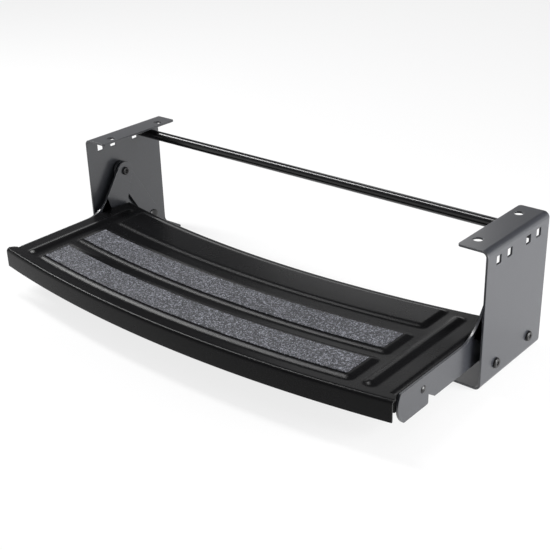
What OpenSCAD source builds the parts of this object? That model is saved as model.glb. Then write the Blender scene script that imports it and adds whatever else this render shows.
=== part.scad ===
// Pull-out entry step for a caravan door. Two channel-section side plates bolt up under
// the floor. A pressed tread with a curved front hangs between them on two side arms.
// Each arm rests on a pin at the front of its side plate, and is carried at its ear by a
// link that swings about a pivot at the rear. Lifted and pushed, the tread swings back
// until the notches in the arms drop over the front pins.
//
// Millimetres. The origin is the centre of the four floor bolts, on the top faces of the
// side plates. +X is to the right of someone who faces the step, +Y goes under the
// caravan and +Z is up. Heights are above the bottom of the side plates, and setbacks
// are behind their front edges.

/* [Side plates] */
// Width over the two side plates
frame_w = 600; // [450:1:800]
// Height of a side plate
side_h = 160; // [150:1:200]
// Depth of a side plate, front to rear
side_d = 130; // [124:1:180]
// Sheet thickness of the side plates
plate_t = 2.5; // [2:0.25:4]
// Width of the top and bottom flanges
flange_w = 36; // [33:1:45]
// Outside radius of the bends of the side plates
plate_bend_r = 7; // [5:0.5:10]
// Radius of the free corners of the flanges
flange_corner_r = 4; // [1:0.5:8]

/* [Floor fixing holes] */
// Diameter of the floor bolt holes
bolt_hole_d = 10.5; // [8:0.5:13]
// Distance between the front and rear bolt holes
bolt_pitch = 85; // [60:1:100]
// Distance of the bolt holes from the outer face of the web
bolt_inset = 25; // [20:1:26]
// Side length of the square holes in the web
square_hole = 9.5; // [8:0.5:12]
// Distance between the two square holes of a pair
square_pitch = 22.5; // [16:0.5:28]
// Distance between the middles of the two pairs
square_pair_pitch = 62; // [55:1:66]
// Distance of the square holes below the top face
square_drop = 16; // [13:0.5:25]

/* [Cross rod] */
// Outside diameter of the cross rod
rod_d = 12.5; // [10:0.5:16]
// Wall of the cross rod
rod_wall = 2; // [1:0.25:3]
// Gap between the rod and the bends under the top flanges
rod_gap = 0.25; // [0.1:0.05:2]

/* [Front pins] */
// Diameter of the front pins
front_pin_d = 8; // [7:0.5:10]
// Setback of the front pins
front_pin_setback = 31; // [24:0.5:40]
// Height of the front pins
front_pin_height = 20.5; // [19:0.5:28]
// Length that a front pin stands in past the inner face of its arm
front_pin_overhang = 4; // [3:0.5:8]
// Width of the bevel around the inner end of a front pin
front_pin_bevel = 1; // [0.5:0.1:1.5]
// Gap under the arms as they rest on the front pins
rest_gap = 0.3; // [0.2:0.05:0.5]

/* [Links and pivots] */
// Diameter of the rear pivots
rear_pivot_d = 10; // [8:0.5:12]
// Setback of the rear pivots
rear_pivot_setback = 102; // [95:0.5:110]
// Height of the rear pivots
rear_pivot_height = 21.5; // [20:0.5:28]
// Diameter of the upper pivots
upper_pivot_d = 8; // [6:0.5:10]
// Setback of the upper pivots with the step pulled out
upper_pivot_setback = 51; // [47:0.5:55]
// Height of the upper pivots with the step pulled out
upper_pivot_height = 104.5; // [100:0.5:108]
// Thickness of the links
link_t = 3; // [2:0.25:4]
// Width of the links
link_w = 25; // [20:0.5:28]
// Length of the spacers between webs and links
rear_spacer_l = 3; // [3:0.1:5]
// Outside diameter of the spacers and washers
spacer_d = 20; // [18:0.5:22]
// Thickness of the washers between links and ears
upper_washer_t = 3.1; // [3.1:0.1:5]
// Radial running clearance of the links on their pivots
running_gap = 0.05; // [0.02:0.01:0.09]
// Side clearance of the links
link_side_gap = 0.2; // [0.1:0.05:0.4]

/* [Side arms] */
// Thickness of the side arms
arm_t = 3; // [2:0.25:4]
// Radius of the ear around the upper pivot
ear_r = 13; // [11:0.5:14]
// Slope of the ear's front edge, in degrees from level
ear_slope = 55; // [50:1:60]
// Radius of the sweep from the ear to the arm's top edge
ear_sweep_r = 45; // [30:1:50]
// Height of the waist behind the ear
waist_height = 64; // [62:0.5:70]
// Gap between the waist and the link, seen from the side
waist_gap = 8; // [5:0.5:10]
// Radius of the curved front end of an arm
arm_nose_r = 26; // [24:1:60]
// Depth below the arm's top edge where the front end stands out most
arm_nose_drop = 14.5; // [8:0.5:18]
// Distance of the arm's front end behind the tread's front corner
arm_nose_setback = 17; // [14:0.5:20]
// Depth of the foot in front of the notch below the arm's lower edge
foot_drop = 3; // [2:0.1:5]
// Radius of the foot's lower corner beside the notch
foot_corner_r = 2.5; // [1:0.25:3]
// Distance that the tread drops as the notch falls over the front pin
notch_drop = 4; // [3.5:0.25:6]
// Clearance of the front pin in the notch
notch_gap = 0.4; // [0.3:0.05:0.8]
// Distance of the front rivet ahead of the notch's seat
arm_rivet_lead = 15; // [10:0.5:20]
// Distance of the rear rivet ahead of the rear end of the turned-down side
arm_rivet_end = 11; // [8:0.5:30]
// Diameter of the arm rivets
arm_rivet_d = 5; // [4:0.5:6]
// Distance of the arm rivets below the top of the tread
arm_rivet_drop = 17; // [13:0.5:19]

/* [Tread] */
// Height of the top of the tread's sheet with the step pulled out
tread_height = 60.5; // [58:0.5:64]
// Distance that the middle of the tread's front stands out ahead of the side plates
tread_reach = 178; // [165:1:185]
// Depth of the tread at its middle
tread_depth = 201; // [198:1:210]
// Radius of the curved front of the tread
tread_front_r = 1570; // [1200:10:2400]
// Sheet thickness of the tread
tread_t = 2; // [1.5:0.25:2.5]
// Outside radius of the tread's bends
tread_bend_r = 4.5; // [3.5:0.25:6]
// Height of the front edge of the tread
front_edge_h = 24; // [20:0.5:30]
// Height of the turned-down sides of the tread
side_edge_h = 22; // [20:0.5:26]
// Height of the turned-down rear of the tread
rear_edge_h = 14; // [10:0.5:18]
// Distance that the front edge laps out past the outer faces of the arms
front_edge_lap = 3; // [1:0.25:5]
// Depth of the ends of the front edge behind the tread's front corners
front_tab_d = 8; // [6:0.5:10]
// Distance of the ends of the turned-down sides from the tread's corners
corner_relief = 14; // [12:0.5:20]
// Step of the arms' top edge below the top of the tread
arm_top_drop = 3; // [2.6:0.1:4.5]

/* [Pads and ribs] */
// Width of a raised pad across its flat top
pad_w = 40; // [38.5:0.5:42]
// Height of the pads and ribs above the sheet
pad_h = 2.6; // [2:0.1:3.5]
// Width of the bevels along the pads' upper edges
pad_bevel = 1; // [0.5:0.1:1.5]
// Distance from the tread's front to the middle of the first pad
pad_first = 41; // [38:0.5:44]
// Distance between the middles of the two pads that carry the strips
pad_pitch = 60.5; // [56:0.5:62]
// Distance between the middles of the second pad and the rear one
rear_pad_pitch = 66.5; // [60:0.5:68]
// Distance of the pads' ends from the bends at the sides
pad_end_margin = 47.5; // [45:0.5:70]
// Distance of the side ribs from the bends at the sides
rib_margin = 25; // [22:0.5:28]
// Width of a side rib
rib_w = 15; // [10:0.5:18]
// Distance of the ribs' ends from the front and rear of the tread at the ribs
rib_end_margin = 17; // [16:1:40]
// Width of the anti-slip strips
grit_w = 36; // [30:0.5:36]
// Thickness of the anti-slip strips
grit_t = 0.9; // [0.6:0.1:1.5]
// Distance of the strips' ends from the ends of the pads
grit_end_margin = 4; // [3:0.5:10]

/* [Rivet heads] */
// Diameter of the rivet tails on the outside of the webs
tail_d = 12; // [11:0.5:14]
// Height of the rivet tails
tail_h = 3; // [2:0.25:4]
// Diameter of the dimples in the rivet tails
dimple_d = 5; // [4:0.25:6]
// Width of the bevels around the rivet tails
tail_bevel = 1; // [0.5:0.1:1.5]
// Diameter of the shoulders of the front pins
shoulder_d = 14; // [13:0.5:16]
// Thickness of the shoulders of the front pins
shoulder_t = 2; // [1.5:0.25:3]
// Diameter of the rear pivots' heads
rear_head_d = 16; // [14:0.5:16]
// Height of the rear pivots' heads
rear_head_h = 2.5; // [2:0.1:2.6]
// Height of the straight rim around the rear pivots' heads
rear_rim_h = 1; // [0.5:0.1:1.5]
// Diameter of the upper pivots' heads
upper_head_d = 14; // [12:0.5:18]
// Height of the upper pivots' heads
upper_head_h = 2.4; // [1.5:0.1:2.4]
// Diameter of the upper pivots' tails
upper_tail_d = 11; // [10.5:0.5:14]
// Diameter of the heads of the arm rivets
arm_head_d = 9; // [8:0.5:10]
// Height of the heads of the arm rivets
arm_head_h = 1.8; // [1.2:0.1:2]

/* [Hidden] */
$fn = 64;

// Finishes
paint = [0.06, 0.06, 0.065];
bright_paint = [0.1, 0.1, 0.11];
grit_grey = [0.3, 0.3, 0.32];
zinc = [0.16, 0.16, 0.17];

// Slope of the pads' sides, in degrees from level
pad_slope = 45;
// Step of a link's straight sides in from its round ends
link_step = 0.1;
// Radial gap of a rivet's shank in the piece that holds it
rivet_gap = 0.02;
// Length by which a cutting solid passes the face that it cuts
cut = 1;

// Planes of the frame
front_y = -side_d / 2;
bottom_z = -side_h;
web_out_x = frame_w / 2;
web_in_x = web_out_x - plate_t;

// Sideways stack from the web in to the arm
link_out_x = web_in_x - rear_spacer_l - link_side_gap;
link_in_x = link_out_x - link_t;
arm_out_x = link_in_x - link_side_gap - upper_washer_t;
arm_in_x = arm_out_x - arm_t;
side_in_x = arm_in_x - tread_t;

// Pin and pivot axes, as [y, z]
front_pin = [front_y + front_pin_setback, bottom_z + front_pin_height];
rear_pivot = [front_y + rear_pivot_setback, bottom_z + rear_pivot_height];
upper_pivot = [front_y + upper_pivot_setback, bottom_z + upper_pivot_height];

// Swing of the links: from the pulled-out lean to the pushed-in lean, lower by the drop
link_l = norm(upper_pivot - rear_pivot);
lean_out = asin((rear_pivot.x - upper_pivot.x) / link_l);
lean_in = acos((upper_pivot.y - rear_pivot.y - notch_drop) / link_l);
travel = link_l * (sin(lean_out) + sin(lean_in));

// Tread planes and arcs
tread_top_z = bottom_z + tread_height;
tread_front_y = front_y - tread_reach;
arc_y = tread_front_y + tread_front_r;
rear_r = tread_front_r - tread_depth;
flat_half = arm_in_x - tread_bend_r;
front_half = arm_out_x + front_edge_lap;
sector_deg = asin((web_out_x + 2 * tread_bend_r) / rear_r);
front_corner_y = arc_y - sqrt(tread_front_r * tread_front_r - flat_half * flat_half);
rear_corner_y = arc_y - sqrt(rear_r * rear_r - flat_half * flat_half);
side_front_y = front_corner_y + corner_relief;
side_rear_y = rear_corner_y - corner_relief;
pad_mids = [pad_first, pad_first + pad_pitch, pad_first + pad_pitch + rear_pad_pitch];
pad_half = flat_half - pad_end_margin;
rib_x = flat_half - rib_margin;
rib_front_y = arc_y - sqrt(tread_front_r * tread_front_r - rib_x * rib_x) + rib_end_margin;
rib_rear_y = arc_y - sqrt(rear_r * rear_r - rib_x * rib_x) - rib_end_margin;
pad_slope_trim = tread_t * tan(pad_slope / 2);
rib_r = (rib_w * rib_w / 4 + pad_h * pad_h) / (2 * pad_h);

// Side arm outline, as [y, z]
arm_top_z = tread_top_z - arm_top_drop;
arm_low_z = front_pin.y + front_pin_d / 2 + rest_gap;
foot_low_z = arm_low_z - foot_drop;
arm_nose_y = front_corner_y + arm_nose_setback;
notch_r = front_pin_d / 2 + notch_gap;
notch_seat = [front_pin.x - travel, front_pin.y + notch_drop];
notch_front_y = notch_seat.x - notch_r;
waist_offset = link_w / 2 + waist_gap;
ear_front = upper_pivot + ear_r * [-sin(ear_slope), cos(ear_slope)];
ear_root = [ear_front.x - (ear_front.y - arm_top_z) / tan(ear_slope), arm_top_z];
sweep_l = ear_sweep_r * tan(ear_slope / 2);
sweep_end = ear_root + sweep_l * [cos(ear_slope), sin(ear_slope)];
waist = [behind_link(bottom_z + waist_height), bottom_z + waist_height];
heel = [behind_link(arm_low_z), arm_low_z];
notch_slope = (lean_out + lean_in) / 2;
arm_rivet_ys = [notch_seat.x - arm_rivet_lead, side_rear_y - arm_rivet_end];
arm_rivet_z = tread_top_z - arm_rivet_drop;

// Setback of the line that runs ahead of the link at the waist's distance, at a height z
function behind_link(z) =
    upper_pivot.x + ((upper_pivot.y - z) * sin(lean_out) - waist_offset) / cos(lean_out);

// Point where a line from a point touches a circle on the side of larger y
function tangent_point(from, centre, r) =
    let (
        d = norm(centre - from),
        bearing = atan2(centre.y - from.y, centre.x - from.x) - asin(r / d)
    )
    from + sqrt(d * d - r * r) * [cos(bearing), sin(bearing)];

// Places an outline drawn as [y, z] across the thickness from x0 to x1
module across(x0, x1) {
    translate([x0, 0, 0])
        rotate([90, 0, 90])
            linear_extrude(height = x1 - x0)
                children();
}

// Round bar along X from x0 to x1 on a pin or pivot axis
module bar(axis, d, x0, x1) {
    translate([x0, axis.x, axis.y])
        rotate([0, 90, 0])
            cylinder(h = x1 - x0, d = d);
}

// Turned piece along X on an axis, from a profile of [radius, x]
module turned(axis) {
    translate([0, axis.x, axis.y])
        rotate([90, 0, 90])
            rotate_extrude()
                children();
}

// Draws the right-hand piece, or its mirror image for the left
module handed(left) {
    if (left)
        mirror([1, 0, 0])
            children();
    else
        children();
}

// Half profile of a rivet tail that stands out by h from the face at x, with a dimple
module tail_profile(x, d, h) {
    difference() {
        translate([0, x])
            square([d / 2, h]);
        translate([0, x + h])
            circle(d = dimple_d);
        translate([d / 2, x + h])
            rotate(45)
                square(tail_bevel * sqrt(2), center = true);
    }
}

// Half profile of a shallow domed head that stands in by h from the face at x
module dome_profile(x, d, h, inward) {
    dome_r = (d * d / 4 + h * h) / (2 * h);
    dir = inward ? -1 : 1;
    intersection() {
        translate([0, x + dir * (h - dome_r)])
            circle(r = dome_r, $fn = 128);
        translate([0, inward ? x - h : x])
            square([d / 2, h]);
    }
}

// Section of a side plate: a channel with rounded bends, open towards the middle
module channel_section() {
    inner_r = plate_bend_r - plate_t;
    bend_x = web_out_x - plate_bend_r;
    flange_x = web_out_x - flange_w;
    difference() {
        union() {
            translate([flange_x, bottom_z])
                square([flange_w - plate_bend_r, side_h]);
            translate([flange_x, bottom_z + plate_bend_r])
                square([flange_w, side_h - 2 * plate_bend_r]);
            for (z = [bottom_z + plate_bend_r, -plate_bend_r])
                translate([bend_x, z])
                    circle(r = plate_bend_r);
        }
        translate([flange_x - cut, bottom_z + plate_t])
            square([flange_w - plate_bend_r + cut, side_h - 2 * plate_t]);
        translate([flange_x - cut, bottom_z + plate_bend_r])
            square([flange_w - plate_t + cut, side_h - 2 * plate_bend_r]);
        for (z = [bottom_z + plate_bend_r, -plate_bend_r])
            translate([bend_x, z])
                circle(r = inner_r);
    }
}

// Cuts the free corners of both flanges round, at the front and the rear
module flange_corners() {
    r = flange_corner_r;
    for (s = [-1, 1])
        translate([web_out_x - flange_w, s * side_d / 2, 0])
            difference() {
                translate([-r, -r, bottom_z - cut])
                    cube([2 * r, 2 * r, side_h + 2 * cut]);
                translate([r, -s * r, bottom_z - 2 * cut])
                    cylinder(h = side_h + 4 * cut, r = r);
                translate([r, -2 * r, bottom_z - 2 * cut])
                    cube([2 * r, 4 * r, side_h + 4 * cut]);
                translate([-2 * r, s > 0 ? -3 * r : r, bottom_z - 2 * cut])
                    cube([4 * r, 2 * r, side_h + 4 * cut]);
            }
}

module side_plate() {
    difference() {
        translate([0, side_d / 2, 0])
            rotate([90, 0, 0])
                linear_extrude(height = side_d)
                    channel_section();
        flange_corners();
        for (s = [-1, 1])
            translate([web_out_x - bolt_inset, s * bolt_pitch / 2, -plate_t - cut])
                cylinder(h = plate_t + 2 * cut, d = bolt_hole_d);
        for (pair = [-1, 1], s = [-1, 1])
            translate([web_in_x + plate_t / 2,
                    pair * square_pair_pitch / 2 + s * square_pitch / 2, -square_drop])
                cube([plate_t + 2 * cut, square_hole, square_hole], center = true);
        bar(front_pin, front_pin_d + 2 * rivet_gap, web_in_x - cut, web_out_x + cut);
        bar(rear_pivot, rear_pivot_d + 2 * rivet_gap, web_in_x - cut, web_out_x + cut);
    }
}

// Tube between the webs, on the middle of the rear pairs of square holes
module cross_rod() {
    axis = [square_pair_pitch / 2, -plate_bend_r - rod_gap - rod_d / 2];
    color(paint)
        difference() {
            bar(axis, rod_d, -web_in_x, web_in_x);
            bar(axis, rod_d - 2 * rod_wall, -web_in_x - cut, web_in_x + cut);
        }
}

// Shouldered rivet in the web, long enough to pass under the arm
module front_pin() {
    end_x = arm_in_x - front_pin_overhang;
    turned(front_pin) {
        difference() {
            translate([0, end_x])
                square([front_pin_d / 2, web_out_x - end_x]);
            translate([front_pin_d / 2, end_x])
                rotate(45)
                    square(front_pin_bevel * sqrt(2), center = true);
        }
        translate([0, web_in_x - shoulder_t])
            square([shoulder_d / 2, shoulder_t]);
        tail_profile(web_out_x, tail_d, tail_h);
    }
}

module rear_pivot() {
    head_x = link_in_x - link_side_gap;
    turned(rear_pivot) {
        translate([0, head_x])
            square([rear_pivot_d / 2, web_out_x - head_x]);
        translate([0, head_x - rear_rim_h])
            square([rear_head_d / 2, rear_rim_h]);
        dome_profile(head_x - rear_rim_h, rear_head_d, rear_head_h - rear_rim_h, true);
        tail_profile(web_out_x, tail_d, tail_h);
    }
}

module rear_spacer() {
    difference() {
        bar(rear_pivot, spacer_d, web_in_x - rear_spacer_l, web_in_x);
        bar(rear_pivot, rear_pivot_d + 2 * rivet_gap, web_in_x - rear_spacer_l - cut, web_in_x + cut);
    }
}

// Flat link with round ends, pulled-out position
module link() {
    difference() {
        across(link_in_x, link_out_x) {
            translate(rear_pivot)
                rotate(90 + lean_out)
                    translate([0, link_step - link_w / 2])
                        square([link_l, link_w - 2 * link_step]);
            for (p = [rear_pivot, upper_pivot])
                translate(p)
                    circle(d = link_w);
        }
        bar(rear_pivot, rear_pivot_d + 2 * running_gap, link_in_x - cut, link_out_x + cut);
        bar(upper_pivot, upper_pivot_d + 2 * running_gap, link_in_x - cut, link_out_x + cut);
    }
}

// Slice of a ring about the centre of the tread's arcs, from a profile of [radius, z]
module arc_sweep() {
    translate([0, arc_y, tread_top_z])
        rotate([0, 0, -90 - sector_deg])
            rotate_extrude(angle = 2 * sector_deg, $fn = 128)
                children();
}

// Section of the tread's sheet from rear to front, with both edges bent down
module tread_section() {
    r = tread_bend_r;
    inner_r = tread_bend_r - tread_t;
    h = front_edge_h;
    difference() {
        union() {
            translate([rear_r, -h])
                square([tread_depth, h - r]);
            translate([rear_r + r, -h])
                square([tread_depth - 2 * r, h]);
            for (x = [rear_r + r, tread_front_r - r])
                translate([x, -r])
                    circle(r = r);
        }
        translate([rear_r + tread_t, -h - cut])
            square([tread_depth - 2 * tread_t, h - r + cut]);
        translate([rear_r + r, -h - cut])
            square([tread_depth - 2 * r, h - tread_t + cut]);
        for (x = [rear_r + r, tread_front_r - r])
            translate([x, -r])
                circle(r = inner_r);
        translate([rear_r - cut, -h - cut])
            square([tread_t + 2 * cut, h - rear_edge_h + cut]);
    }
}

// Section of the bend along one side of the tread and its turned-down edge
module side_bend_section() {
    r = tread_bend_r;
    difference() {
        union() {
            translate([flat_half, -side_edge_h])
                square([r, side_edge_h - r]);
            translate([flat_half, -r])
                intersection() {
                    circle(r = r);
                    square(r);
                }
        }
        translate([flat_half - cut, -side_edge_h - cut])
            square([r - tread_t + cut, side_edge_h - r + cut]);
        translate([flat_half, -r])
            circle(r = r - tread_t);
    }
}

// Section of a raised pad with sloping sides and bevelled upper edges
module pad_section(mid, half, top) {
    foot = tread_t + pad_h;
    run = pad_bevel * cos(pad_slope);
    fall = pad_bevel * sin(pad_slope);
    translate([mid, top])
        polygon([
            [-half - foot, -foot], [-half - run, -fall], [-half + pad_bevel, 0],
            [half - pad_bevel, 0], [half + run, -fall], [half + foot, -foot]
        ]);
}

// Raised pad: the n-th from the front, drawn in by trim and lowered
module pad(n, trim, low) {
    intersection() {
        arc_sweep()
            pad_section(tread_front_r - pad_mids[n], pad_w / 2 - trim, pad_h - low);
        translate([0, arc_y, tread_top_z])
            rotate([90, 0, 0])
                linear_extrude(height = tread_front_r)
                    pad_section(0, pad_half - trim, pad_h - low);
    }
}

// Rounded rib along one side of the tread, of a radius r about the rib's axis
module rib(r) {
    axis_z = tread_top_z + pad_h - rib_r;
    for (y = [rib_front_y + rib_r, rib_rear_y - rib_r])
        translate([rib_x, y, axis_z])
            sphere(r = r, $fn = 32);
    translate([rib_x, rib_front_y + rib_r, axis_z])
        rotate([-90, 0, 0])
            cylinder(h = rib_rear_y - rib_front_y - 2 * rib_r, r = r, $fn = 32);
}

// Keeps what lies above the underside of the tread's sheet
module above_sheet() {
    intersection() {
        children();
        translate([-web_out_x, tread_front_y - cut, tread_top_z - tread_t])
            cube([frame_w, 2 * tread_depth, rib_r]);
    }
}

// Plan of the panel: the width between the side bends, wider at the front corners
module panel_plan() {
    ahead_y = tread_front_y - cut;
    tab_y = front_corner_y + front_tab_d;
    translate([0, 0, tread_top_z - 2 * front_edge_h])
        linear_extrude(height = 3 * front_edge_h) {
            translate([-flat_half, ahead_y])
                square([2 * flat_half, 2 * tread_depth]);
            polygon([
                [-front_half, ahead_y], [front_half, ahead_y], [front_half, tab_y],
                [arm_in_x, side_front_y], [-arm_in_x, side_front_y], [-front_half, tab_y]
            ]);
        }
}

module tread_panel() {
    color(paint)
        difference() {
            union() {
                intersection() {
                    arc_sweep()
                        tread_section();
                    panel_plan();
                }
                for (left = [false, true])
                    handed(left)
                        translate([0, side_rear_y, tread_top_z])
                            rotate([90, 0, 0])
                                linear_extrude(height = side_rear_y - side_front_y)
                                    side_bend_section();
                for (n = [0:2])
                    above_sheet()
                        pad(n, 0, 0);
                for (left = [false, true])
                    handed(left)
                        above_sheet()
                            rib(rib_r);
            }
            for (n = [0:2])
                pad(n, pad_slope_trim, tread_t);
            for (left = [false, true])
                handed(left)
                    rib(rib_r - tread_t);
            for (left = [false, true], y = arm_rivet_ys)
                handed(left)
                    bar([y, arm_rivet_z], arm_rivet_d + 2 * rivet_gap, side_in_x - cut, arm_in_x + cut);
        }
}

// Anti-slip strip on the n-th pad from the front
module grit_strip(n) {
    mid_r = tread_front_r - pad_mids[n];
    half = pad_half - grit_end_margin;
    color(grit_grey)
        intersection() {
            arc_sweep()
                translate([mid_r - grit_w / 2, pad_h])
                    square([grit_w, grit_t]);
            translate([-half, tread_front_y, tread_top_z])
                cube([2 * half, tread_depth, pad_h + 2 * grit_t]);
        }
}

module front_grit_strip() {
    grit_strip(0);
}

module middle_grit_strip() {
    grit_strip(1);
}

// Outline of a side arm before its notch is cut
module arm_outline() {
    nose = [arm_nose_y + arm_nose_r, arm_top_z - arm_nose_drop];
    corner = [notch_front_y - foot_corner_r, foot_low_z + foot_corner_r];
    difference() {
        intersection() {
            union() {
                translate([arm_nose_y, arm_low_z])
                    square([ear_root.x - arm_nose_y, arm_top_z - arm_low_z]);
                translate([arm_nose_y, foot_low_z])
                    square([notch_front_y - arm_nose_y, arm_top_z - foot_low_z]);
            }
            union() {
                translate(nose)
                    circle(r = arm_nose_r, $fn = 128);
                translate([nose.x, foot_low_z])
                    square([ear_root.x - nose.x, arm_top_z - foot_low_z]);
            }
        }
        difference() {
            translate(corner - [0, foot_corner_r + cut])
                square(foot_corner_r + cut);
            translate(corner)
                circle(r = foot_corner_r);
        }
    }
    polygon([
        [ear_root.x - cut, arm_low_z], heel, waist,
        tangent_point(waist, upper_pivot, ear_r), upper_pivot, ear_front, ear_root,
        [ear_root.x - cut, arm_top_z]
    ]);
    translate(upper_pivot)
        circle(r = ear_r);
    difference() {
        polygon([ear_root - [sweep_l, 0], ear_root, sweep_end]);
        translate(ear_root + [-sweep_l, ear_sweep_r])
            circle(r = ear_sweep_r, $fn = 128);
    }
}

// Notch that drops over the front pin: a plumb front wall and a sloping rear wall
module notch_outline() {
    top_z = notch_seat.y + notch_r / tan(45 - notch_slope / 2);
    low_z = foot_low_z - cut;
    polygon([
        [notch_front_y, low_z],
        [notch_front_y, top_z],
        [notch_front_y + (top_z - low_z) / tan(notch_slope), low_z]
    ]);
}

module side_arm() {
    difference() {
        across(arm_in_x, arm_out_x)
            difference() {
                arm_outline();
                notch_outline();
            }
        bar(upper_pivot, upper_pivot_d + 2 * rivet_gap, arm_in_x - cut, arm_out_x + cut);
        for (y = arm_rivet_ys)
            bar([y, arm_rivet_z], arm_rivet_d + 2 * rivet_gap, arm_in_x - cut, arm_out_x + cut);
    }
}

module arm_rivets() {
    for (y = arm_rivet_ys)
        turned([y, arm_rivet_z]) {
            translate([0, side_in_x])
                square([arm_rivet_d / 2, arm_out_x - side_in_x]);
            dome_profile(arm_out_x, arm_head_d, arm_head_h, false);
            dome_profile(side_in_x, arm_head_d, arm_head_h, true);
        }
}

module upper_pivot() {
    head_x = link_out_x + link_side_gap;
    turned(upper_pivot) {
        translate([0, arm_in_x])
            square([upper_pivot_d / 2, head_x - arm_in_x]);
        translate([0, head_x])
            square([upper_head_d / 2, upper_head_h]);
        mirror([0, 1])
            tail_profile(-arm_in_x, upper_tail_d, tail_h);
    }
}

module upper_washer() {
    difference() {
        bar(upper_pivot, spacer_d, arm_out_x, arm_out_x + upper_washer_t);
        bar(upper_pivot, upper_pivot_d + 2 * rivet_gap, arm_out_x - cut, arm_out_x + upper_washer_t + cut);
    }
}

color(paint) handed(true) side_plate();  // left_side_plate
color(paint) handed(false) side_plate();  // right_side_plate
cross_rod();
color(zinc) handed(true) front_pin();  // left_front_pin
color(zinc) handed(false) front_pin();  // right_front_pin
color(zinc) handed(true) rear_pivot();  // left_rear_pivot
color(zinc) handed(false) rear_pivot();  // right_rear_pivot
color(zinc) handed(true) rear_spacer();  // left_rear_spacer
color(zinc) handed(false) rear_spacer();  // right_rear_spacer
color(bright_paint) handed(true) link();  // left_link
color(bright_paint) handed(false) link();  // right_link
tread_panel();
front_grit_strip();
middle_grit_strip();
color(paint) handed(true) side_arm();  // left_side_arm
color(paint) handed(false) side_arm();  // right_side_arm
color(zinc) handed(true) arm_rivets();  // left_arm_rivets
color(zinc) handed(false) arm_rivets();  // right_arm_rivets
color(zinc) handed(true) upper_pivot();  // left_upper_pivot
color(zinc) handed(false) upper_pivot();  // right_upper_pivot
color(zinc) handed(true) upper_washer();  // left_upper_washer
color(zinc) handed(false) upper_washer();  // right_upper_washer
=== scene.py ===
"""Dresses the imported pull-out caravan step: pressed tread, paint, anti-slip strips and a studio."""

import math

import bpy
from bpy.props import FloatProperty, FloatVectorProperty, IntProperty, PointerProperty
from mathutils import Matrix, Vector


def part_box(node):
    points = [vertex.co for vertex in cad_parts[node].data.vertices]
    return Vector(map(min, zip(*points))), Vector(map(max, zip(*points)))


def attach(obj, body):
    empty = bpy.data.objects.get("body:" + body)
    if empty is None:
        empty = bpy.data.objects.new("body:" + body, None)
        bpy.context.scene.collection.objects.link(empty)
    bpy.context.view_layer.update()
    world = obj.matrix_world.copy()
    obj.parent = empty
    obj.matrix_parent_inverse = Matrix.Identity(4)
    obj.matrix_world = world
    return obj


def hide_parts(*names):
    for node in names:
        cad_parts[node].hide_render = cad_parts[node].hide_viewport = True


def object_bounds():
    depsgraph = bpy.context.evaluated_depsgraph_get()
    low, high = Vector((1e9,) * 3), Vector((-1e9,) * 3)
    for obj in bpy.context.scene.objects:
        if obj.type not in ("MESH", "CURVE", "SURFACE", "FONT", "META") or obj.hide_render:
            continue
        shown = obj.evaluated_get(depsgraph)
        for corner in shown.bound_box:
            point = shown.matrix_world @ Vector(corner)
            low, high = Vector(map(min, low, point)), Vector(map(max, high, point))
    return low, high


bl_info = {
    "name": "Caravan step finishes",
    "version": (1, 0, 0),
    "blender": (4, 5, 0),
    "location": "3D View > Sidebar > Caravan Step",
    "description": "Paints the pull-out step, presses its tread, lays its strips and sets up the studio",
    "category": "Object",
}

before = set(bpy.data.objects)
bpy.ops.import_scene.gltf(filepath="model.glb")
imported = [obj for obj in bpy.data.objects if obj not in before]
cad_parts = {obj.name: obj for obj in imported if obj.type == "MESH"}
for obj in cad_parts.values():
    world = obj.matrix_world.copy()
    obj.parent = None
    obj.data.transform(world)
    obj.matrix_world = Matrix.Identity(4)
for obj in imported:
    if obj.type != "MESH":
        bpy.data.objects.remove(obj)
cad_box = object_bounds()

# Distance within which two places count as one
NEAR = 0.00002
# Faces round a bend of the tread's sheet
BEND_STEPS = 8
# Depth behind the front edge within which a row can belong to a front corner
FRONT_PART = 0.05
# Angles between faces: of one flat, of an edge to round, and of an edge that stays sharp
FLAT_ANGLE = math.radians(0.1)
ROUND_ANGLE = math.radians(32)
SHARP_ANGLE = math.radians(28)
SHEET_SHARP_ANGLE = math.radians(35)
# Turn of a strip's arc, a little past the ends at which it is cut
SPARE_TURN = 1.02
# Share of the floor that shows plain white; the rest takes the lamps and the shadow
FLOOR_WHITE = 0.8

SIDE_PLATES = ("left_side_plate", "right_side_plate")
LINKS = ("left_link", "right_link")
ARMS = ("left_side_arm", "right_side_arm")
STRIPS = ("front_grit_strip", "middle_grit_strip")
PINS = (
    "left_front_pin",
    "right_front_pin",
    "left_rear_pivot",
    "right_rear_pivot",
    "left_arm_rivets",
    "right_arm_rivets",
    "left_upper_pivot",
    "right_upper_pivot",
)
SPACERS = (
    "left_rear_spacer",
    "right_rear_spacer",
    "left_upper_washer",
    "right_upper_washer",
)


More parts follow.
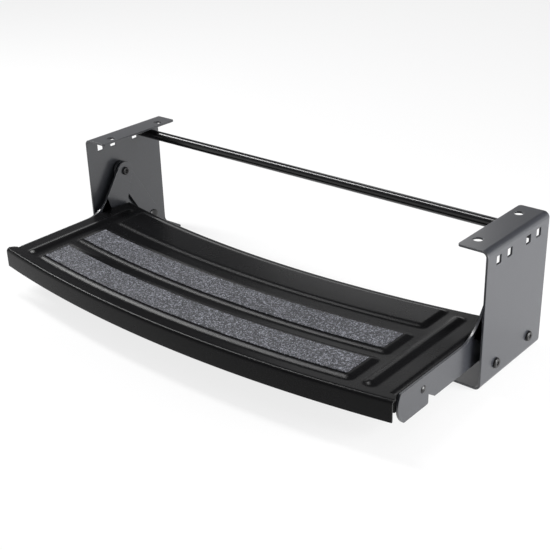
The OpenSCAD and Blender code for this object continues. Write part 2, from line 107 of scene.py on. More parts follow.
class STEP_PG_finishes(bpy.types.PropertyGroup):
    """Paint of the frame, the tread and the rivets"""

    frame_colour: FloatVectorProperty(
        name="Frame paint",
        description="Colour of the side plates, arms and links",
        subtype="COLOR",
        size=3,
        min=0.0,
        max=1.0,
        default=(0.022, 0.0235, 0.028),
    )
    tread_colour: FloatVectorProperty(
        name="Tread paint",
        description="Colour of the pressed tread and the cross rod",
        subtype="COLOR",
        size=3,
        min=0.0,
        max=1.0,
        default=(0.004, 0.004, 0.0043),
    )
    rivet_colour: FloatVectorProperty(
        name="Rivet coating",
        description="Colour of the pins, pivots and rivets",
        subtype="COLOR",
        size=3,
        min=0.0,
        max=1.0,
        default=(0.008, 0.008, 0.0085),
    )
    frame_roughness: FloatProperty(
        name="Frame roughness",
        description="Mean roughness of the frame's satin paint",
        min=0.0,
        max=1.0,
        default=0.3,
    )
    tread_roughness: FloatProperty(
        name="Tread roughness",
        description="Mean roughness of the tread's gloss paint",
        min=0.0,
        max=1.0,
        default=0.27,
    )
    rivet_roughness: FloatProperty(
        name="Rivet roughness",
        description="Mean roughness of the rivets' coating",
        min=0.0,
        max=1.0,
        default=0.3,
    )
    rod_roughness: FloatProperty(
        name="Rod roughness",
        description="Mean roughness of the cross rod's gloss paint",
        min=0.0,
        max=1.0,
        default=0.2,
    )
    peel_size: FloatProperty(
        name="Orange peel",
        description="Size of the ripples that the powder coat flows into",
        subtype="DISTANCE",
        unit="LENGTH",
        default=0.0035,
    )
    sheet_edge: FloatProperty(
        name="Sheet edge radius",
        description="Rounding that paint leaves on cut sheet edges",
        subtype="DISTANCE",
        unit="LENGTH",
        default=0.0004,
    )
    press_edge: FloatProperty(
        name="Pressed edge radius",
        description="Rounding of the cut edges of the pressed tread",
        subtype="DISTANCE",
        unit="LENGTH",
        default=0.0006,
    )


class STEP_PG_tread(bpy.types.PropertyGroup):
    """Pressed sheet of the tread"""

    arc_centre: FloatProperty(
        name="Arc centre",
        description="Distance behind the origin of the centre of the tread's arcs",
        subtype="DISTANCE",
        unit="LENGTH",
        default=1.327,
    )
    thickness: FloatProperty(
        name="Sheet",
        description="Thickness of the tread's sheet",
        subtype="DISTANCE",
        unit="LENGTH",
        default=0.002,
    )
    bend: FloatProperty(
        name="Bend radius",
        description="Outer radius of the bends along the edges",
        subtype="DISTANCE",
        unit="LENGTH",
        default=0.0045,
    )
    side_edge: FloatProperty(
        name="Side edge",
        description="Depth of the turned-down sides",
        subtype="DISTANCE",
        unit="LENGTH",
        default=0.022,
    )
    rear_edge: FloatProperty(
        name="Rear edge",
        description="Depth of the turned-down rear edge",
        subtype="DISTANCE",
        unit="LENGTH",
        default=0.014,
    )
    front_tab: FloatProperty(
        name="Front tab",
        description="Length of the wide front corners behind the front edge",
        subtype="DISTANCE",
        unit="LENGTH",
        default=0.008,
    )
    corner_relief: FloatProperty(
        name="Corner relief",
        description="Distance from a corner to the start of the turned-down side",
        subtype="DISTANCE",
        unit="LENGTH",
        default=0.014,
    )
    pad_mids: FloatVectorProperty(
        name="Pads",
        description="Distances of the pads' middle lines behind the front edge",
        subtype="NONE",
        unit="LENGTH",
        size=3,
        default=(0.041, 0.1015, 0.168),
    )
    pad_flats: FloatVectorProperty(
        name="Pad flats",
        description="Widths of the flat tops of the pads",
        subtype="NONE",
        unit="LENGTH",
        size=3,
        default=(0.038, 0.038, 0.037),
    )
    pad_height: FloatProperty(
        name="Pad height",
        description="Height of the pads and ribs over the sheet",
        subtype="DISTANCE",
        unit="LENGTH",
        default=0.0026,
    )
    pad_run: FloatProperty(
        name="Pad slope",
        description="Width of the soft slope round a pad",
        subtype="DISTANCE",
        unit="LENGTH",
        default=0.0075,
    )
    pad_end: FloatProperty(
        name="Pad end",
        description="Distance from the side bend to the flat top of a pad",
        subtype="DISTANCE",
        unit="LENGTH",
        default=0.0485,
    )
    rib_margin: FloatProperty(
        name="Rib margin",
        description="Distance from the side bend to the crest of a rib",
        subtype="DISTANCE",
        unit="LENGTH",
        default=0.025,
    )
    rib_crest: FloatProperty(
        name="Rib crest",
        description="Width of the top of a rib",
        subtype="DISTANCE",
        unit="LENGTH",
        default=0.002,
    )
    rib_run: FloatProperty(
        name="Rib slope",
        description="Width of the soft slope beside a rib",
        subtype="DISTANCE",
        unit="LENGTH",
        default=0.0075,
    )
    rib_end: FloatProperty(
        name="Rib end",
        description="Distance from the front and rear edges to the crest of a rib",
        subtype="DISTANCE",
        unit="LENGTH",
        default=0.022,
    )
    columns: IntProperty(
        name="Columns",
        description="Faces along half the tread",
        min=20,
        max=200,
        default=140,
    )
    rows: IntProperty(
        name="Rows",
        description="Faces across the flat of the tread",
        min=20,
        max=200,
        default=112,
    )


class STEP_PG_grit(bpy.types.PropertyGroup):
    """Anti-slip strips"""

    width: FloatProperty(
        name="Strip width",
        description="Width of a strip from front to rear",
        subtype="DISTANCE",
        unit="LENGTH",
        default=0.036,
    )
    grain: FloatProperty(
        name="Grain",
        description="Size of the mineral grains",
        subtype="DISTANCE",
        unit="LENGTH",
        default=0.0012,
    )
    relief: FloatProperty(
        name="Relief",
        description="Height of the grains over the strip's backing",
        subtype="DISTANCE",
        unit="LENGTH",
        default=0.0004,
    )
    columns: IntProperty(
        name="Columns",
        description="Faces along half a strip",
        min=8,
        max=400,
        default=220,
    )
    rows: IntProperty(
        name="Rows",
        description="Faces across a strip",
        min=4,
        max=60,
        default=31,
    )
    dark_colour: FloatVectorProperty(
        name="Dark grains",
        description="Colour of the darkest grains and the binder",
        subtype="COLOR",
        size=3,
        min=0.0,
        max=1.0,
        default=(0.02, 0.021, 0.024),
    )
    mid_colour: FloatVectorProperty(
        name="Middle grains",
        description="Colour of most grains",
        subtype="COLOR",
        size=3,
        min=0.0,
        max=1.0,
        default=(0.042, 0.0435, 0.051),
    )
    pale_colour: FloatVectorProperty(
        name="Pale grains",
        description="Colour of the palest grains",
        subtype="COLOR",
        size=3,
        min=0.0,
        max=1.0,
        default=(0.265, 0.272, 0.31),
    )


class STEP_PG_stage(bpy.types.PropertyGroup):
    """Floor, lamps and camera"""

    floor_colour: FloatVectorProperty(
        name="Floor",
        description="Colour of the floor",
        subtype="COLOR",
        size=3,
        min=0.0,
        max=1.0,
        default=(0.9, 0.9, 0.9),
    )
    floor_radius: FloatProperty(
        name="Floor radius",
        description="Radius of the round floor",
        subtype="DISTANCE",
        unit="LENGTH",
        default=14.0,
    )
    key_power: FloatProperty(
        name="Key lamp",
        description="Power of the long lamp above the left side",
        subtype="POWER",
        unit="POWER",
        default=30.0,
    )
    side_power: FloatProperty(
        name="Side lamp",
        description="Power of the lamp beside the right side plate",
        subtype="POWER",
        unit="POWER",
        default=12.0,
    )
    back_power: FloatProperty(
        name="Back lamp",
        description="Power of the dim panel that the tread's right half mirrors",
        subtype="POWER",
        unit="POWER",
        default=2.2,
    )
    fill_power: FloatProperty(
        name="Fill lamp",
        description="Power of the wide lamp overhead",
        subtype="POWER",
        unit="POWER",
        default=8.0,
    )
    camera_place: FloatVectorProperty(
        name="Camera place",
        description="Place of the camera",
        subtype="TRANSLATION",
        unit="LENGTH",
        size=3,
        default=(0.7556, -0.917, 0.4385),
    )
    camera_yaw: FloatProperty(
        name="Camera yaw",
        description="Turn of the camera to the left of straight back",
        subtype="ANGLE",
        unit="ROTATION",
        default=math.radians(40.72),
    )
    camera_pitch: FloatProperty(
        name="Camera pitch",
        description="Tilt of the camera below level",
        subtype="ANGLE",
        unit="ROTATION",
        default=math.radians(25.79),
    )
    camera_roll: FloatProperty(
        name="Camera roll",
        description="Turn of the camera about its own axis",
        subtype="ANGLE",
        unit="ROTATION",
        default=math.radians(-1.78),
    )
    camera_lens: FloatProperty(
        name="Lens",
        description="Focal length on a 36 mm wide sensor",
        subtype="DISTANCE_CAMERA",
        default=69.3,
    )


def linear_rgba(colour):
    """A property's colour with full alpha, for a shader socket."""
    return (colour[0], colour[1], colour[2], 1.0)


def new_group(name, inputs, outputs):
    """An empty shader node group with float, colour and vector sockets."""
    group = bpy.data.node_groups.new(name, "ShaderNodeTree")
    for label, kind, value in inputs:
        socket = group.interface.new_socket(label, in_out="INPUT", socket_type=kind)
        socket.default_value = value
    for label, kind in outputs:
        group.interface.new_socket(label, in_out="OUTPUT", socket_type=kind)
    return group


def add_node(tree, kind, settings=None, values=None):
    """A node of a kind, with its settings and the values of its input sockets."""
    node = tree.nodes.new(kind)
    for key, value in (settings or {}).items():
        setattr(node, key, value)
    for key, value in (values or {}).items():
        node.inputs[key].default_value = value
    return node


def powder_coat_group():
    """Paint that flowed into a fine orange peel, with small changes of gloss and tone."""
    name = "Powder coat"
    if name in bpy.data.node_groups:
        return bpy.data.node_groups[name]
    group = new_group(
        name,
        [
            ("Colour", "NodeSocketColor", (0.02, 0.02, 0.02, 1.0)),
            ("Roughness", "NodeSocketFloat", 0.3),
            ("Gloss Change", "NodeSocketFloat", 0.06),
            ("Peel Scale", "NodeSocketFloat", 300.0),
            ("Peel Depth", "NodeSocketFloat", 0.05),
            ("Edge Radius", "NodeSocketFloat", 0.0005),
        ],
        [
            ("Colour", "NodeSocketColor"),
            ("Roughness", "NodeSocketFloat"),
            ("Normal", "NodeSocketVector"),
        ],
    )
    link = group.links.new
    given = add_node(group, "NodeGroupInput")
    result = add_node(group, "NodeGroupOutput")
    place = add_node(group, "ShaderNodeTexCoord")
    peel = add_node(group, "ShaderNodeTexNoise", values={"Detail": 2.0, "Roughness": 0.45})
    link(place.outputs["Object"], peel.inputs["Vector"])
    link(given.outputs["Peel Scale"], peel.inputs["Scale"])
    rounded = add_node(group, "ShaderNodeBevel", {"samples": 8})
    link(given.outputs["Edge Radius"], rounded.inputs["Radius"])
    bump = add_node(group, "ShaderNodeBump", values={"Distance": 0.0003})
    link(rounded.outputs["Normal"], bump.inputs["Normal"])
    link(peel.outputs["Fac"], bump.inputs["Height"])
    link(given.outputs["Peel Depth"], bump.inputs["Strength"])
    link(bump.outputs["Normal"], result.inputs["Normal"])
    cloud = add_node(
        group, "ShaderNodeTexNoise", values={"Scale": 14.0, "Detail": 5.0, "Roughness": 0.6}
    )
    link(place.outputs["Object"], cloud.inputs["Vector"])
    centred = add_node(group, "ShaderNodeMath", {"operation": "SUBTRACT"}, {1: 0.5})
    link(cloud.outputs["Fac"], centred.inputs[0])
    gloss = add_node(group, "ShaderNodeMath", {"operation": "MULTIPLY_ADD"})
    link(centred.outputs[0], gloss.inputs[0])
    link(given.outputs["Gloss Change"], gloss.inputs[1])
    link(given.outputs["Roughness"], gloss.inputs[2])
    link(gloss.outputs[0], result.inputs["Roughness"])
    speck = add_node(group, "ShaderNodeTexNoise", values={"Scale": 900.0, "Detail": 1.0})
    link(place.outputs["Object"], speck.inputs["Vector"])
    tone = add_node(
        group,
        "ShaderNodeMapRange",
        values={"From Min": 0.3, "From Max": 0.7, "To Min": 0.8, "To Max": 1.25},
    )
    link(speck.outputs["Fac"], tone.inputs["Value"])
    shade = add_node(group, "ShaderNodeVectorMath", {"operation": "SCALE"})
    link(given.outputs["Colour"], shade.inputs[0])
    link(tone.outputs["Result"], shade.inputs["Scale"])
    link(shade.outputs["Vector"], result.inputs["Colour"])
    return group


def paint_material(name, colour, roughness, gloss_change, peel_depth, edge_radius, ior, coat):
    """A painted metal finish around the powder coat group."""
    finishes = bpy.context.scene.step_finishes
    material = bpy.data.materials.new(name)
    material.use_nodes = True
    tree = material.node_tree
    shader = tree.nodes["Principled BSDF"]
    shader.inputs["IOR"].default_value = ior
    shader.inputs["Coat Weight"].default_value = coat
    shader.inputs["Coat Roughness"].default_value = 0.12
    coat_group = add_node(tree, "ShaderNodeGroup", {"node_tree": powder_coat_group()})
    coat_group.inputs["Colour"].default_value = linear_rgba(colour)
    coat_group.inputs["Roughness"].default_value = roughness
    coat_group.inputs["Gloss Change"].default_value = gloss_change
    coat_group.inputs["Peel Scale"].default_value = 1.0 / finishes.peel_size
    coat_group.inputs["Peel Depth"].default_value = peel_depth
    coat_group.inputs["Edge Radius"].default_value = edge_radius
    tree.links.new(coat_group.outputs["Colour"], shader.inputs["Base Color"])
    tree.links.new(coat_group.outputs["Roughness"], shader.inputs["Roughness"])
    tree.links.new(coat_group.outputs["Normal"], shader.inputs["Normal"])
    return material


def grit_material():
    """Mineral grains in a dark binder: each grain has its own tone and tilt."""
    grit = bpy.context.scene.step_grit
    material = bpy.data.materials.new("Anti-slip grit")
    material.use_nodes = True
    tree = material.node_tree
    shader = tree.nodes["Principled BSDF"]
    shader.inputs["IOR"].default_value = 1.5
    place = add_node(tree, "ShaderNodeTexCoord")
    grains = add_node(
        tree, "ShaderNodeTexVoronoi", values={"Scale": 1.0 / grit.grain, "Randomness": 1.0}
    )
    tree.links.new(place.outputs["Object"], grains.inputs["Vector"])
    split = add_node(tree, "ShaderNodeSeparateColor")
    tree.links.new(grains.outputs["Color"], split.inputs["Color"])
    tones = add_node(tree, "ShaderNodeValToRGB")
    ramp = tones.color_ramp
    ramp.elements[0].position = 0.15
    ramp.elements[0].color = linear_rgba(grit.dark_colour)
    ramp.elements[1].position = 1.0
    ramp.elements[1].color = linear_rgba(grit.pale_colour)
    middle = ramp.elements.new(0.65)
    middle.color = linear_rgba(grit.mid_colour)
    tree.links.new(split.outputs["Red"], tones.inputs["Fac"])
    tree.links.new(tones.outputs["Color"], shader.inputs["Base Color"])
    dull = add_node(
        tree,
        "ShaderNodeMapRange",
        values={"From Min": 0.0, "From Max": 1.0, "To Min": 0.35, "To Max": 0.85},
    )
    tree.links.new(split.outputs["Green"], dull.inputs["Value"])
    tree.links.new(dull.outputs["Result"], shader.inputs["Roughness"])
    bump = add_node(tree, "ShaderNodeBump", values={"Strength": 0.6, "Distance": 0.0004})
    tree.links.new(grains.outputs["Distance"], bump.inputs["Height"])
    bump.invert = True
    tree.links.new(bump.outputs["Normal"], shader.inputs["Normal"])
    return material


def smooth_group():
    """Geometry nodes that shade a welded solid smooth, and keep its true edges sharp."""
    name = "Smooth between edges"
    if name in bpy.data.node_groups:
        return bpy.data.node_groups[name]
    group = bpy.data.node_groups.new(name, "GeometryNodeTree")
    group.interface.new_socket("Geometry", in_out="INPUT", socket_type="NodeSocketGeometry")
    group.interface.new_socket("Geometry", in_out="OUTPUT", socket_type="NodeSocketGeometry")
    given = group.nodes.new("NodeGroupInput")
    result = group.nodes.new("NodeGroupOutput")
    faces = group.nodes.new("GeometryNodeSetShadeSmooth")
    faces.domain = "FACE"
    faces.inputs["Shade Smooth"].default_value = True
    edges = group.nodes.new("GeometryNodeSetShadeSmooth")
    edges.domain = "EDGE"
    edges.inputs["Shade Smooth"].default_value = False
    angle = group.nodes.new("GeometryNodeInputMeshEdgeAngle")
    steep = group.nodes.new("FunctionNodeCompare")
    steep.data_type = "FLOAT"
    steep.operation = "GREATER_THAN"
    steep.inputs["B"].default_value = SHARP_ANGLE
    group.links.new(given.outputs[0], faces.inputs["Geometry"])
    group.links.new(faces.outputs["Geometry"], edges.inputs["Geometry"])
    group.links.new(angle.outputs["Unsigned Angle"], steep.inputs["A"])
    group.links.new(steep.outputs["Result"], edges.inputs["Selection"])
    group.links.new(edges.outputs["Geometry"], result.inputs[0])
    return group


def dress(node_name, material, edge_radius):
    """Paints a CAD node and rounds its cut edges with live modifiers."""
    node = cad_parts[node_name]
    node.data.materials.clear()
    node.data.materials.append(material)
    weld = node.modifiers.new("Weld", "WELD")
    weld.merge_threshold = 0.00001
    flats = node.modifiers.new("Flats", "DECIMATE")
    flats.decimate_type = "DISSOLVE"
    flats.angle_limit = FLAT_ANGLE
    bevel = node.modifiers.new("Edges", "BEVEL")
    bevel.width = edge_radius
    bevel.segments = 2
    bevel.limit_method = "ANGLE"
    bevel.angle_limit = ROUND_ANGLE
    bevel.use_clamp_overlap = False
    smooth = node.modifiers.new("Smooth", "NODES")
    smooth.node_group = smooth_group()
    even = node.modifiers.new("Even", "WEIGHTED_NORMAL")
    even.keep_sharp = True


def select_only(obj):
    """Makes an object the only selected and active one."""
    bpy.ops.object.select_all(action="DESELECT")
    obj.select_set(True)
    bpy.context.view_layer.objects.active = obj


def pick(obj, test, mode):
    """In edit mode, selects the faces or edges whose middle passes a test."""
    bpy.ops.mesh.select_mode(type=mode)
    bpy.ops.mesh.select_all(action="DESELECT")
    bpy.ops.object.mode_set(mode="OBJECT")
    mesh = obj.data
    if mode == "FACE":
        for face in mesh.polygons:
            face.select = test(face.center, face.normal)
    if mode == "EDGE":
        for edge in mesh.edges:
            a, b = (mesh.vertices[i].co for i in edge.vertices)
            edge.select = test((a + b) / 2, (b - a).normalized())
    bpy.ops.object.mode_set(mode="EDIT")


class STEP_OT_paint_frame(bpy.types.Operator):
    """Paint the side plates, the links, the arms and the spacers"""

    bl_idname = "caravan_step.paint_frame"
    bl_label = "Paint Frame"

    def execute(self, context):
        finishes = context.scene.step_finishes
        satin = paint_material(
            "Frame paint",
            finishes.frame_colour,
            finishes.frame_roughness,
            gloss_change=0.08,
            peel_depth=0.05,
            edge_radius=finishes.sheet_edge,
            ior=1.7,
            coat=0.1,
        )
        for name in (*SIDE_PLATES, *LINKS, *ARMS):
            dress(name, satin, finishes.sheet_edge)
        for name in SPACERS:
            dress(name, satin, finishes.sheet_edge / 2)
        return {"FINISHED"}


class STEP_OT_press_tread(bpy.types.Operator):
    """Press the tread from a curved sheet with bent edges, soft pads and ribs"""

    bl_idname = "caravan_step.press_tread"
    bl_label = "Press Tread"

    def execute(self, context):
        finishes = context.scene.step_finishes
        tread = context.scene.step_tread
        self.size_up(tread)
        sheet = self.form_sheet(context, tread)
        self.press_forms(sheet, tread)
        self.give_thickness(sheet, tread)
        gloss = paint_material(
            "Tread paint",
            finishes.tread_colour,
            finishes.tread_roughness,
            gloss_change=0.06,
            peel_depth=0.04,
            edge_radius=finishes.press_edge,
            ior=1.2,
            coat=0.0,
        )
        sheet.data.materials.append(gloss)
        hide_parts("tread_panel")
        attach(sheet, "tread")
        return {"FINISHED"}

    def size_up(self, tread):
        """Planes and radii of the panel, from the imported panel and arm."""
        low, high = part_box("tread_panel")
        self.flat_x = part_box("right_side_arm")[0].x - tread.bend
        self.front_x = high.x
        self.top_z = high.z - tread.pad_height
        self.low_z = low.z
        self.front_r = tread.arc_centre - low.y
        self.rear_r = math.hypot(tread.arc_centre - high.y, self.flat_x)
        corner_y = self.at_x(tread, self.front_r, self.flat_x)
        self.tab_y = corner_y + tread.front_tab
        self.side_front_y = corner_y + tread.corner_relief
        self.side_rear_y = high.y - tread.corner_relief

    def at_x(self, tread, radius, x):
        """Where an arc of the tread passes a distance x from its middle."""
        return tread.arc_centre - math.sqrt(radius * radius - x * x)

    def form_sheet(self, context, tread):
        """A flat grid, drawn row by row and column by column into the bent sheet."""
        self.rows = self.row_list(tread)
        self.columns = self.column_list(tread)
        across = len(self.columns) - 1
        along = len(self.rows) - 1
        bpy.ops.object.select_all(action="DESELECT")
        bpy.ops.mesh.primitive_grid_add(
            x_subdivisions=across, y_subdivisions=along, size=1.0, location=(0.0, 0.0, 0.0)
        )
        sheet = context.active_object
        sheet.name = "pressed_tread"
        mesh = sheet.data
        waste = []
        for face in mesh.polygons:
            i = int((face.center.x + 0.5) * across)
            j = int((face.center.y + 0.5) * along)
            if self.is_waste(tread, i, j):
                waste.append(face.index)
        for vertex in mesh.vertices:
            i = round((vertex.co.x + 0.5) * across)
            j = round((vertex.co.y + 0.5) * along)
            vertex.co = self.place(tread, self.columns[i], self.rows[j])
        mesh.update()
        bpy.ops.object.mode_set(mode="EDIT")
        bpy.ops.mesh.select_mode(type="FACE")
        bpy.ops.mesh.select_all(action="DESELECT")
        bpy.ops.object.mode_set(mode="OBJECT")
        for index in waste:
            mesh.polygons[index].select = True
        bpy.ops.object.mode_set(mode="EDIT")
        bpy.ops.mesh.delete(type="FACE")
        bpy.ops.object.mode_set(mode="OBJECT")
        return sheet

    def row_list(self, tread):
        """Distance behind the front edge and drop below the top, from front to rear."""
        depth = self.front_r - self.rear_r
        turns = [math.radians(90 * k / BEND_STEPS) for k in range(BEND_STEPS, -1, -1)]
        bend = [(tread.bend * (1 - math.sin(t)), tread.bend * (1 - math.cos(t))) for t in turns]
        flat = depth - 2 * tread.bend
        rows = [(0.0, self.top_z - self.low_z)] + bend
        rows += [(tread.bend + flat * k / tread.rows, 0.0) for k in range(1, tread.rows)]
        rows += [(depth - back, drop) for back, drop in reversed(bend)]
        return rows + [(depth, tread.rear_edge)]

    def column_list(self, tread):
        """Distance from the middle, and the step along a side bend."""
        half = [(self.flat_x * k / tread.columns, 0) for k in range(1, tread.columns + 1)]
        half += [(self.flat_x, k) for k in range(1, BEND_STEPS + 2)]
        return [(-x, k) for x, k in reversed(half)] + [(0.0, 0)] + half

    def is_side_row(self, tread, row):
        """Whether a row runs on down the turned-down side."""
        back, drop = row
        edge_y = self.at_x(tread, self.front_r - back, self.flat_x)
        return drop < NEAR and self.side_front_y < edge_y < self.side_rear_y

    def is_waste(self, tread, i, j):
        """Whether a face is cut away at a corner of the sheet."""
        pair = self.columns[i], self.columns[i + 1]
        if not any(step for x, step in pair):
            return False
        near, far = self.rows[j], self.rows[j + 1]
        sides = self.is_side_row(tread, near), self.is_side_row(tread, far)
        if all(sides):
            return False
        if any(sides) or near[0] > FRONT_PART:
            return True
        corners = [self.place(tread, column, row) for column in pair for row in (near, far)]
        middle = sum(corners, Vector()) / 4
        return middle.y - self.tab_y > self.front_x - abs(middle.x)

    def place(self, tread, column, row):
        """Place of a point of the sheet before its pads are pressed."""
        x, step = column
        back, drop = row
        side = math.copysign(1.0, x)
        radius = self.front_r - back
        if not step:
            return Vector((x, self.at_x(tread, radius, x), self.top_z - drop))
        if not self.is_side_row(tread, row):
            x += side * (self.front_x - self.flat_x) * step / (BEND_STEPS + 1)
            return Vector((x, self.at_x(tread, radius, x), self.top_z - drop))
        turn = math.radians(90 * min(step, BEND_STEPS) / BEND_STEPS)
        fall = tread.bend * (1 - math.cos(turn))
        if step > BEND_STEPS:
            fall = tread.side_edge
        x += side * tread.bend * math.sin(turn)
        return Vector((x, self.at_x(tread, radius, self.flat_x), self.top_z - fall))

    def press_forms(self, sheet, tread):
        """Raises the pads and ribs, each with a soft slope all round."""
        pad_x = self.flat_x - tread.pad_end
        rib_x = self.flat_x - tread.rib_margin
        for vertex in sheet.data.vertices:
            if vertex.co.z > self.top_z - NEAR:
                vertex.co.z += self.height_at(tread, vertex.co, pad_x, rib_x)
        sheet.data.update()

    def height_at(self, tread, place, pad_x, rib_x):
        """How far the pads and ribs lift the sheet at a place."""
        back = self.front_r - math.hypot(place.x, tread.arc_centre - place.y)
        height = 0.0
        for mid, flat in zip(tread.pad_mids, tread.pad_flats):
            beside = max(0.0, abs(place.x) - pad_x)
            ahead = max(0.0, abs(back - mid) - flat / 2)
            height += self.soft_step(math.hypot(beside, ahead), tread.pad_run)
        start = self.at_x(tread, self.front_r, rib_x) + tread.rib_end
        end = self.at_x(tread, self.rear_r, rib_x) - tread.rib_end
        beside = max(0.0, abs(abs(place.x) - rib_x) - tread.rib_crest / 2)
        ahead = max(0.0, start - place.y, place.y - end)
        height += self.soft_step(math.hypot(beside, ahead), tread.rib_run)
        return height * tread.pad_height

    def soft_step(self, distance, run):
        """One on a raised form, and a smooth fall to nought over its slope."""
        share = max(0.0, 1.0 - distance / run)
        return share * share * (3.0 - 2.0 * share)

    def give_thickness(self, sheet, tread):
        """Turns the surface into a sheet with smooth bends and sharp rims."""
        select_only(sheet)
        wall = sheet.modifiers.new("Sheet", "SOLIDIFY")
        wall.thickness = tread.thickness
        wall.offset = -1.0
        bpy.ops.object.modifier_apply(modifier=wall.name)
        bpy.ops.object.shade_smooth_by_angle(angle=SHEET_SHARP_ANGLE)


class STEP_OT_paint_rod(bpy.types.Operator):
    """Paint the cross rod"""

    bl_idname = "caravan_step.paint_rod"
    bl_label = "Paint Cross Rod"

    def execute(self, context):
        finishes = context.scene.step_finishes
        gloss = paint_material(
            "Rod paint",
            finishes.tread_colour,
            finishes.rod_roughness,
            gloss_change=0.06,
            peel_depth=0.03,
            edge_radius=finishes.sheet_edge,
            ior=1.45,
            coat=0.0,
        )
        dress("cross_rod", gloss, finishes.sheet_edge)
        return {"FINISHED"}


class STEP_OT_coat_rivets(bpy.types.Operator):
    """Coat the pins, pivots and rivets"""

    bl_idname = "caravan_step.coat_rivets"
    bl_label = "Coat Rivets"

    def execute(self, context):
        finishes = context.scene.step_finishes
        coated = paint_material(
            "Rivet coating",
            finishes.rivet_colour,
            finishes.rivet_roughness,
            gloss_change=0.12,
            peel_depth=0.08,
            edge_radius=finishes.sheet_edge,
            ior=1.45,
            coat=0.0,
        )
        for name in PINS:
            dress(name, coated, finishes.sheet_edge / 2)
        return {"FINISHED"}


class STEP_OT_lay_grit(bpy.types.Operator):
    """Model the two anti-slip strips, curved with the tread, with raised grains"""

    bl_idname = "caravan_step.lay_grit"
    bl_label = "Lay Anti-slip Strips"

    def execute(self, context):
        material = grit_material()
        for name in STRIPS:
            self.lay(context, name, material)
        return {"FINISHED"}

    def lay(self, context, node_name, material):
        """One strip in place of a CAD strip."""
        grit = context.scene.step_grit
        arc_centre = context.scene.step_tread.arc_centre
        low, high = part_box(node_name)
        middle = low.y + grit.width / 2
        centre = Vector((0.0, arc_centre, low.z))
        half_turn = math.asin(high.x / (arc_centre - high.y)) * SPARE_TURN
        first = half_turn * (arc_centre - middle) / grit.columns
        height = high.z - low.z - grit.relief / 2
        bpy.ops.object.select_all(action="DESELECT")
        bpy.ops.mesh.primitive_cube_add(size=1.0, location=(0.0, middle, low.z + height / 2))
        strip = context.active_object
        strip.name = node_name.replace("grit_strip", "anti_slip_strip")
        strip.scale = (first, grit.width, height)
        bpy.ops.object.transform_apply(location=True, rotation=True, scale=True)
        bpy.ops.object.mode_set(mode="EDIT")
        for side in (1, -1):
            pick(strip, lambda c, n, s=side: n.x * s > 0.99, "FACE")
            bpy.ops.mesh.spin(
                steps=grit.columns,
                dupli=False,
                angle=side * half_turn,
                center=centre,
                axis=(0.0, 0.0, 1.0),
            )
        for side in (1, -1):
            bpy.ops.mesh.select_mode(type="FACE")
            bpy.ops.mesh.select_all(action="SELECT")
            bpy.ops.mesh.bisect(
                plane_co=(side * high.x, 0.0, 0.0),
                plane_no=(side, 0.0, 0.0),
                use_fill=True,
                clear_outer=True,
            )
        pick(strip, lambda c, d: abs(d.z) < 0.01 and abs(d.y) > 0.8, "EDGE")
        bpy.ops.mesh.subdivide(number_cuts=grit.rows - 1)
        bpy.ops.mesh.select_all(action="SELECT")
        bpy.ops.mesh.remove_doubles(threshold=0.00001)
        bpy.ops.mesh.normals_make_consistent(inside=False)
        bpy.ops.object.mode_set(mode="OBJECT")
        self.raise_grains(strip, low.z + height, grit)
        strip.data.materials.append(material)
        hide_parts(node_name)
        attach(strip, "tread")

    def raise_grains(self, strip, top, grit):
        """Lifts the top of a strip by a grainy texture, and leaves its edge on the pad."""
        crown = strip.vertex_groups.new(name="crown")
        crown.add([v.index for v in strip.data.vertices if v.co.z > top - 0.0001], 1.0, "REPLACE")
        texture = bpy.data.textures.new(strip.name + "_grains", "CLOUDS")
        texture.noise_scale = grit.grain * 1.2
        texture.noise_depth = 2
        select_only(strip)
        lift = strip.modifiers.new("Grains", "DISPLACE")
        lift.texture = texture
        lift.texture_coords = "LOCAL"
        lift.direction = "Z"
        lift.vertex_group = "crown"
        lift.mid_level = 0.5
        lift.strength = grit.relief
        bpy.ops.object.modifier_apply(modifier=lift.name)
        bpy.data.textures.remove(texture)


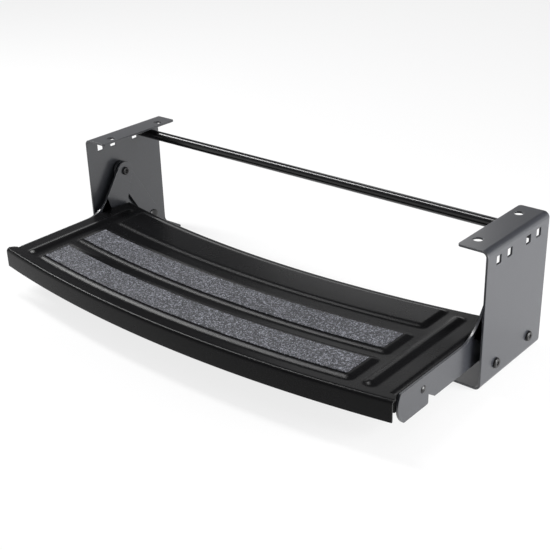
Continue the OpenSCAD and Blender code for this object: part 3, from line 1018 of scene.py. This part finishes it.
class STEP_OT_stage(bpy.types.Operator):
    """Make the floor, the lamps, the world and the camera"""

    bl_idname = "caravan_step.stage"
    bl_label = "Set Up Studio"

    def execute(self, context):
        stage = context.scene.step_stage
        self.floor(context, stage)
        self.world(context)
        self.lamp("Key lamp", stage.key_power, (0.25, 1.5), (-1.0, -0.15, 1.25), (0.0, -0.1, -0.1))
        self.lamp("Side lamp", stage.side_power, (0.5, 0.5), (0.95, 0.12, 0.08), (0.3, 0.05, -0.12))
        self.lamp("Back lamp", stage.back_power, (0.7, 0.6), (-1.0, 1.6, 1.05), (0.2, -0.1, -0.1))
        self.lamp("Fill lamp", stage.fill_power, (1.8, 1.8), (0.5, -1.0, 1.9), (0.0, -0.1, -0.1))
        self.camera(context, stage)
        context.scene.view_settings.view_transform = "Standard"
        return {"FINISHED"}

    def floor(self, context, stage):
        """Round pale floor under the frame's bottom flanges."""
        bpy.ops.object.select_all(action="DESELECT")
        bpy.ops.mesh.primitive_circle_add(
            vertices=96, radius=stage.floor_radius, fill_type="NGON", location=(0, 0, cad_box[0].z)
        )
        floor = context.active_object
        floor.name = "studio_floor"
        bpy.ops.object.transform_apply(location=True)
        material = bpy.data.materials.new("Studio floor")
        material.use_nodes = True
        tree = material.node_tree
        tree.nodes.clear()
        paper = add_node(
            tree, "ShaderNodeBsdfDiffuse", values={"Color": linear_rgba(stage.floor_colour)}
        )
        bright = add_node(tree, "ShaderNodeEmission", values={"Strength": 1.0})
        path = add_node(tree, "ShaderNodeLightPath")
        seen = add_node(tree, "ShaderNodeMath", {"operation": "MAXIMUM"})
        through = add_node(tree, "ShaderNodeMath", {"operation": "MAXIMUM"})
        share = add_node(tree, "ShaderNodeMath", {"operation": "MULTIPLY"}, {1: FLOOR_WHITE})
        mix = add_node(tree, "ShaderNodeMixShader")
        out = add_node(tree, "ShaderNodeOutputMaterial")
        tree.links.new(path.outputs["Is Camera Ray"], seen.inputs[0])
        tree.links.new(path.outputs["Is Glossy Ray"], seen.inputs[1])
        tree.links.new(seen.outputs[0], through.inputs[0])
        tree.links.new(path.outputs["Is Transmission Ray"], through.inputs[1])
        tree.links.new(through.outputs[0], share.inputs[0])
        tree.links.new(share.outputs[0], mix.inputs["Fac"])
        tree.links.new(paper.outputs[0], mix.inputs[1])
        tree.links.new(bright.outputs[0], mix.inputs[2])
        tree.links.new(mix.outputs[0], out.inputs["Surface"])
        floor.data.materials.append(material)

    def world(self, context):
        """White low down, with a dim ceiling."""
        world = bpy.data.worlds.new("Studio")
        context.scene.world = world
        world.use_nodes = True
        tree = world.node_tree
        back = tree.nodes["Background"]
        place = add_node(tree, "ShaderNodeTexCoord")
        split = add_node(tree, "ShaderNodeSeparateXYZ")
        sky = add_node(tree, "ShaderNodeValToRGB")
        sky.color_ramp.elements[0].position = 0.12
        sky.color_ramp.elements[0].color = (1.0, 1.0, 1.0, 1.0)
        sky.color_ramp.elements[1].position = 0.36
        sky.color_ramp.elements[1].color = (0.16, 0.16, 0.17, 1.0)
        tree.links.new(place.outputs["Generated"], split.inputs[0])
        tree.links.new(split.outputs["Z"], sky.inputs["Fac"])
        tree.links.new(sky.outputs["Color"], back.inputs["Color"])

    def lamp(self, name, power, size, place, aim):
        """A rectangular soft lamp that faces a point."""
        light = bpy.data.lights.new(name, "AREA")
        light.shape = "RECTANGLE"
        light.energy = power
        light.size = size[0]
        light.size_y = size[1]
        lamp = bpy.data.objects.new(name.replace(" ", "_").lower(), light)
        lamp.visible_camera = False
        lamp.location = place
        lamp.rotation_euler = (Vector(aim) - Vector(place)).to_track_quat("-Z", "Y").to_euler()
        bpy.context.scene.collection.objects.link(lamp)

    def camera(self, context, stage):
        """Camera at the photograph's viewing angle."""
        data = bpy.data.cameras.new("Camera")
        data.sensor_width = 36.0
        data.lens = stage.camera_lens
        camera = bpy.data.objects.new("camera", data)
        yaw, pitch, roll = stage.camera_yaw, stage.camera_pitch, stage.camera_roll
        ahead = Vector((-math.sin(yaw), math.cos(yaw), 0.0))
        right = Vector((math.cos(yaw), math.sin(yaw), 0.0))
        plumb = Vector((0.0, 0.0, 1.0))
        look = ahead * math.cos(pitch) - plumb * math.sin(pitch)
        level_up = plumb * math.cos(pitch) + ahead * math.sin(pitch)
        side = right * math.cos(roll) + level_up * math.sin(roll)
        up = level_up * math.cos(roll) - right * math.sin(roll)
        turn = Matrix((side, up, -look)).transposed()
        camera.matrix_world = Matrix.Translation(stage.camera_place) @ turn.to_4x4()
        context.scene.collection.objects.link(camera)
        context.scene.camera = camera


class STEP_PT_panel(bpy.types.Panel):
    """Finishes of the pull-out step"""

    bl_label = "Caravan Step"
    bl_idname = "STEP_PT_panel"
    bl_space_type = "VIEW_3D"
    bl_region_type = "UI"
    bl_category = "Caravan Step"

    def draw(self, context):
        for operator in OPERATORS:
            self.layout.operator(operator.bl_idname)


OPERATORS = (
    STEP_OT_paint_frame,
    STEP_OT_press_tread,
    STEP_OT_paint_rod,
    STEP_OT_coat_rivets,
    STEP_OT_lay_grit,
    STEP_OT_stage,
)
CLASSES = (STEP_PG_finishes, STEP_PG_tread, STEP_PG_grit, STEP_PG_stage, *OPERATORS, STEP_PT_panel)


def register():
    for item in CLASSES:
        bpy.utils.register_class(item)
    bpy.types.Scene.step_finishes = PointerProperty(type=STEP_PG_finishes)
    bpy.types.Scene.step_tread = PointerProperty(type=STEP_PG_tread)
    bpy.types.Scene.step_grit = PointerProperty(type=STEP_PG_grit)
    bpy.types.Scene.step_stage = PointerProperty(type=STEP_PG_stage)


def unregister():
    del bpy.types.Scene.step_stage
    del bpy.types.Scene.step_grit
    del bpy.types.Scene.step_tread
    del bpy.types.Scene.step_finishes
    for item in reversed(CLASSES):
        bpy.utils.unregister_class(item)


def main():
    register()
    bpy.ops.caravan_step.paint_frame()
    bpy.ops.caravan_step.press_tread()
    bpy.ops.caravan_step.paint_rod()
    bpy.ops.caravan_step.coat_rivets()
    bpy.ops.caravan_step.lay_grit()
    bpy.ops.caravan_step.stage()


if __name__ == "__main__":
    main()
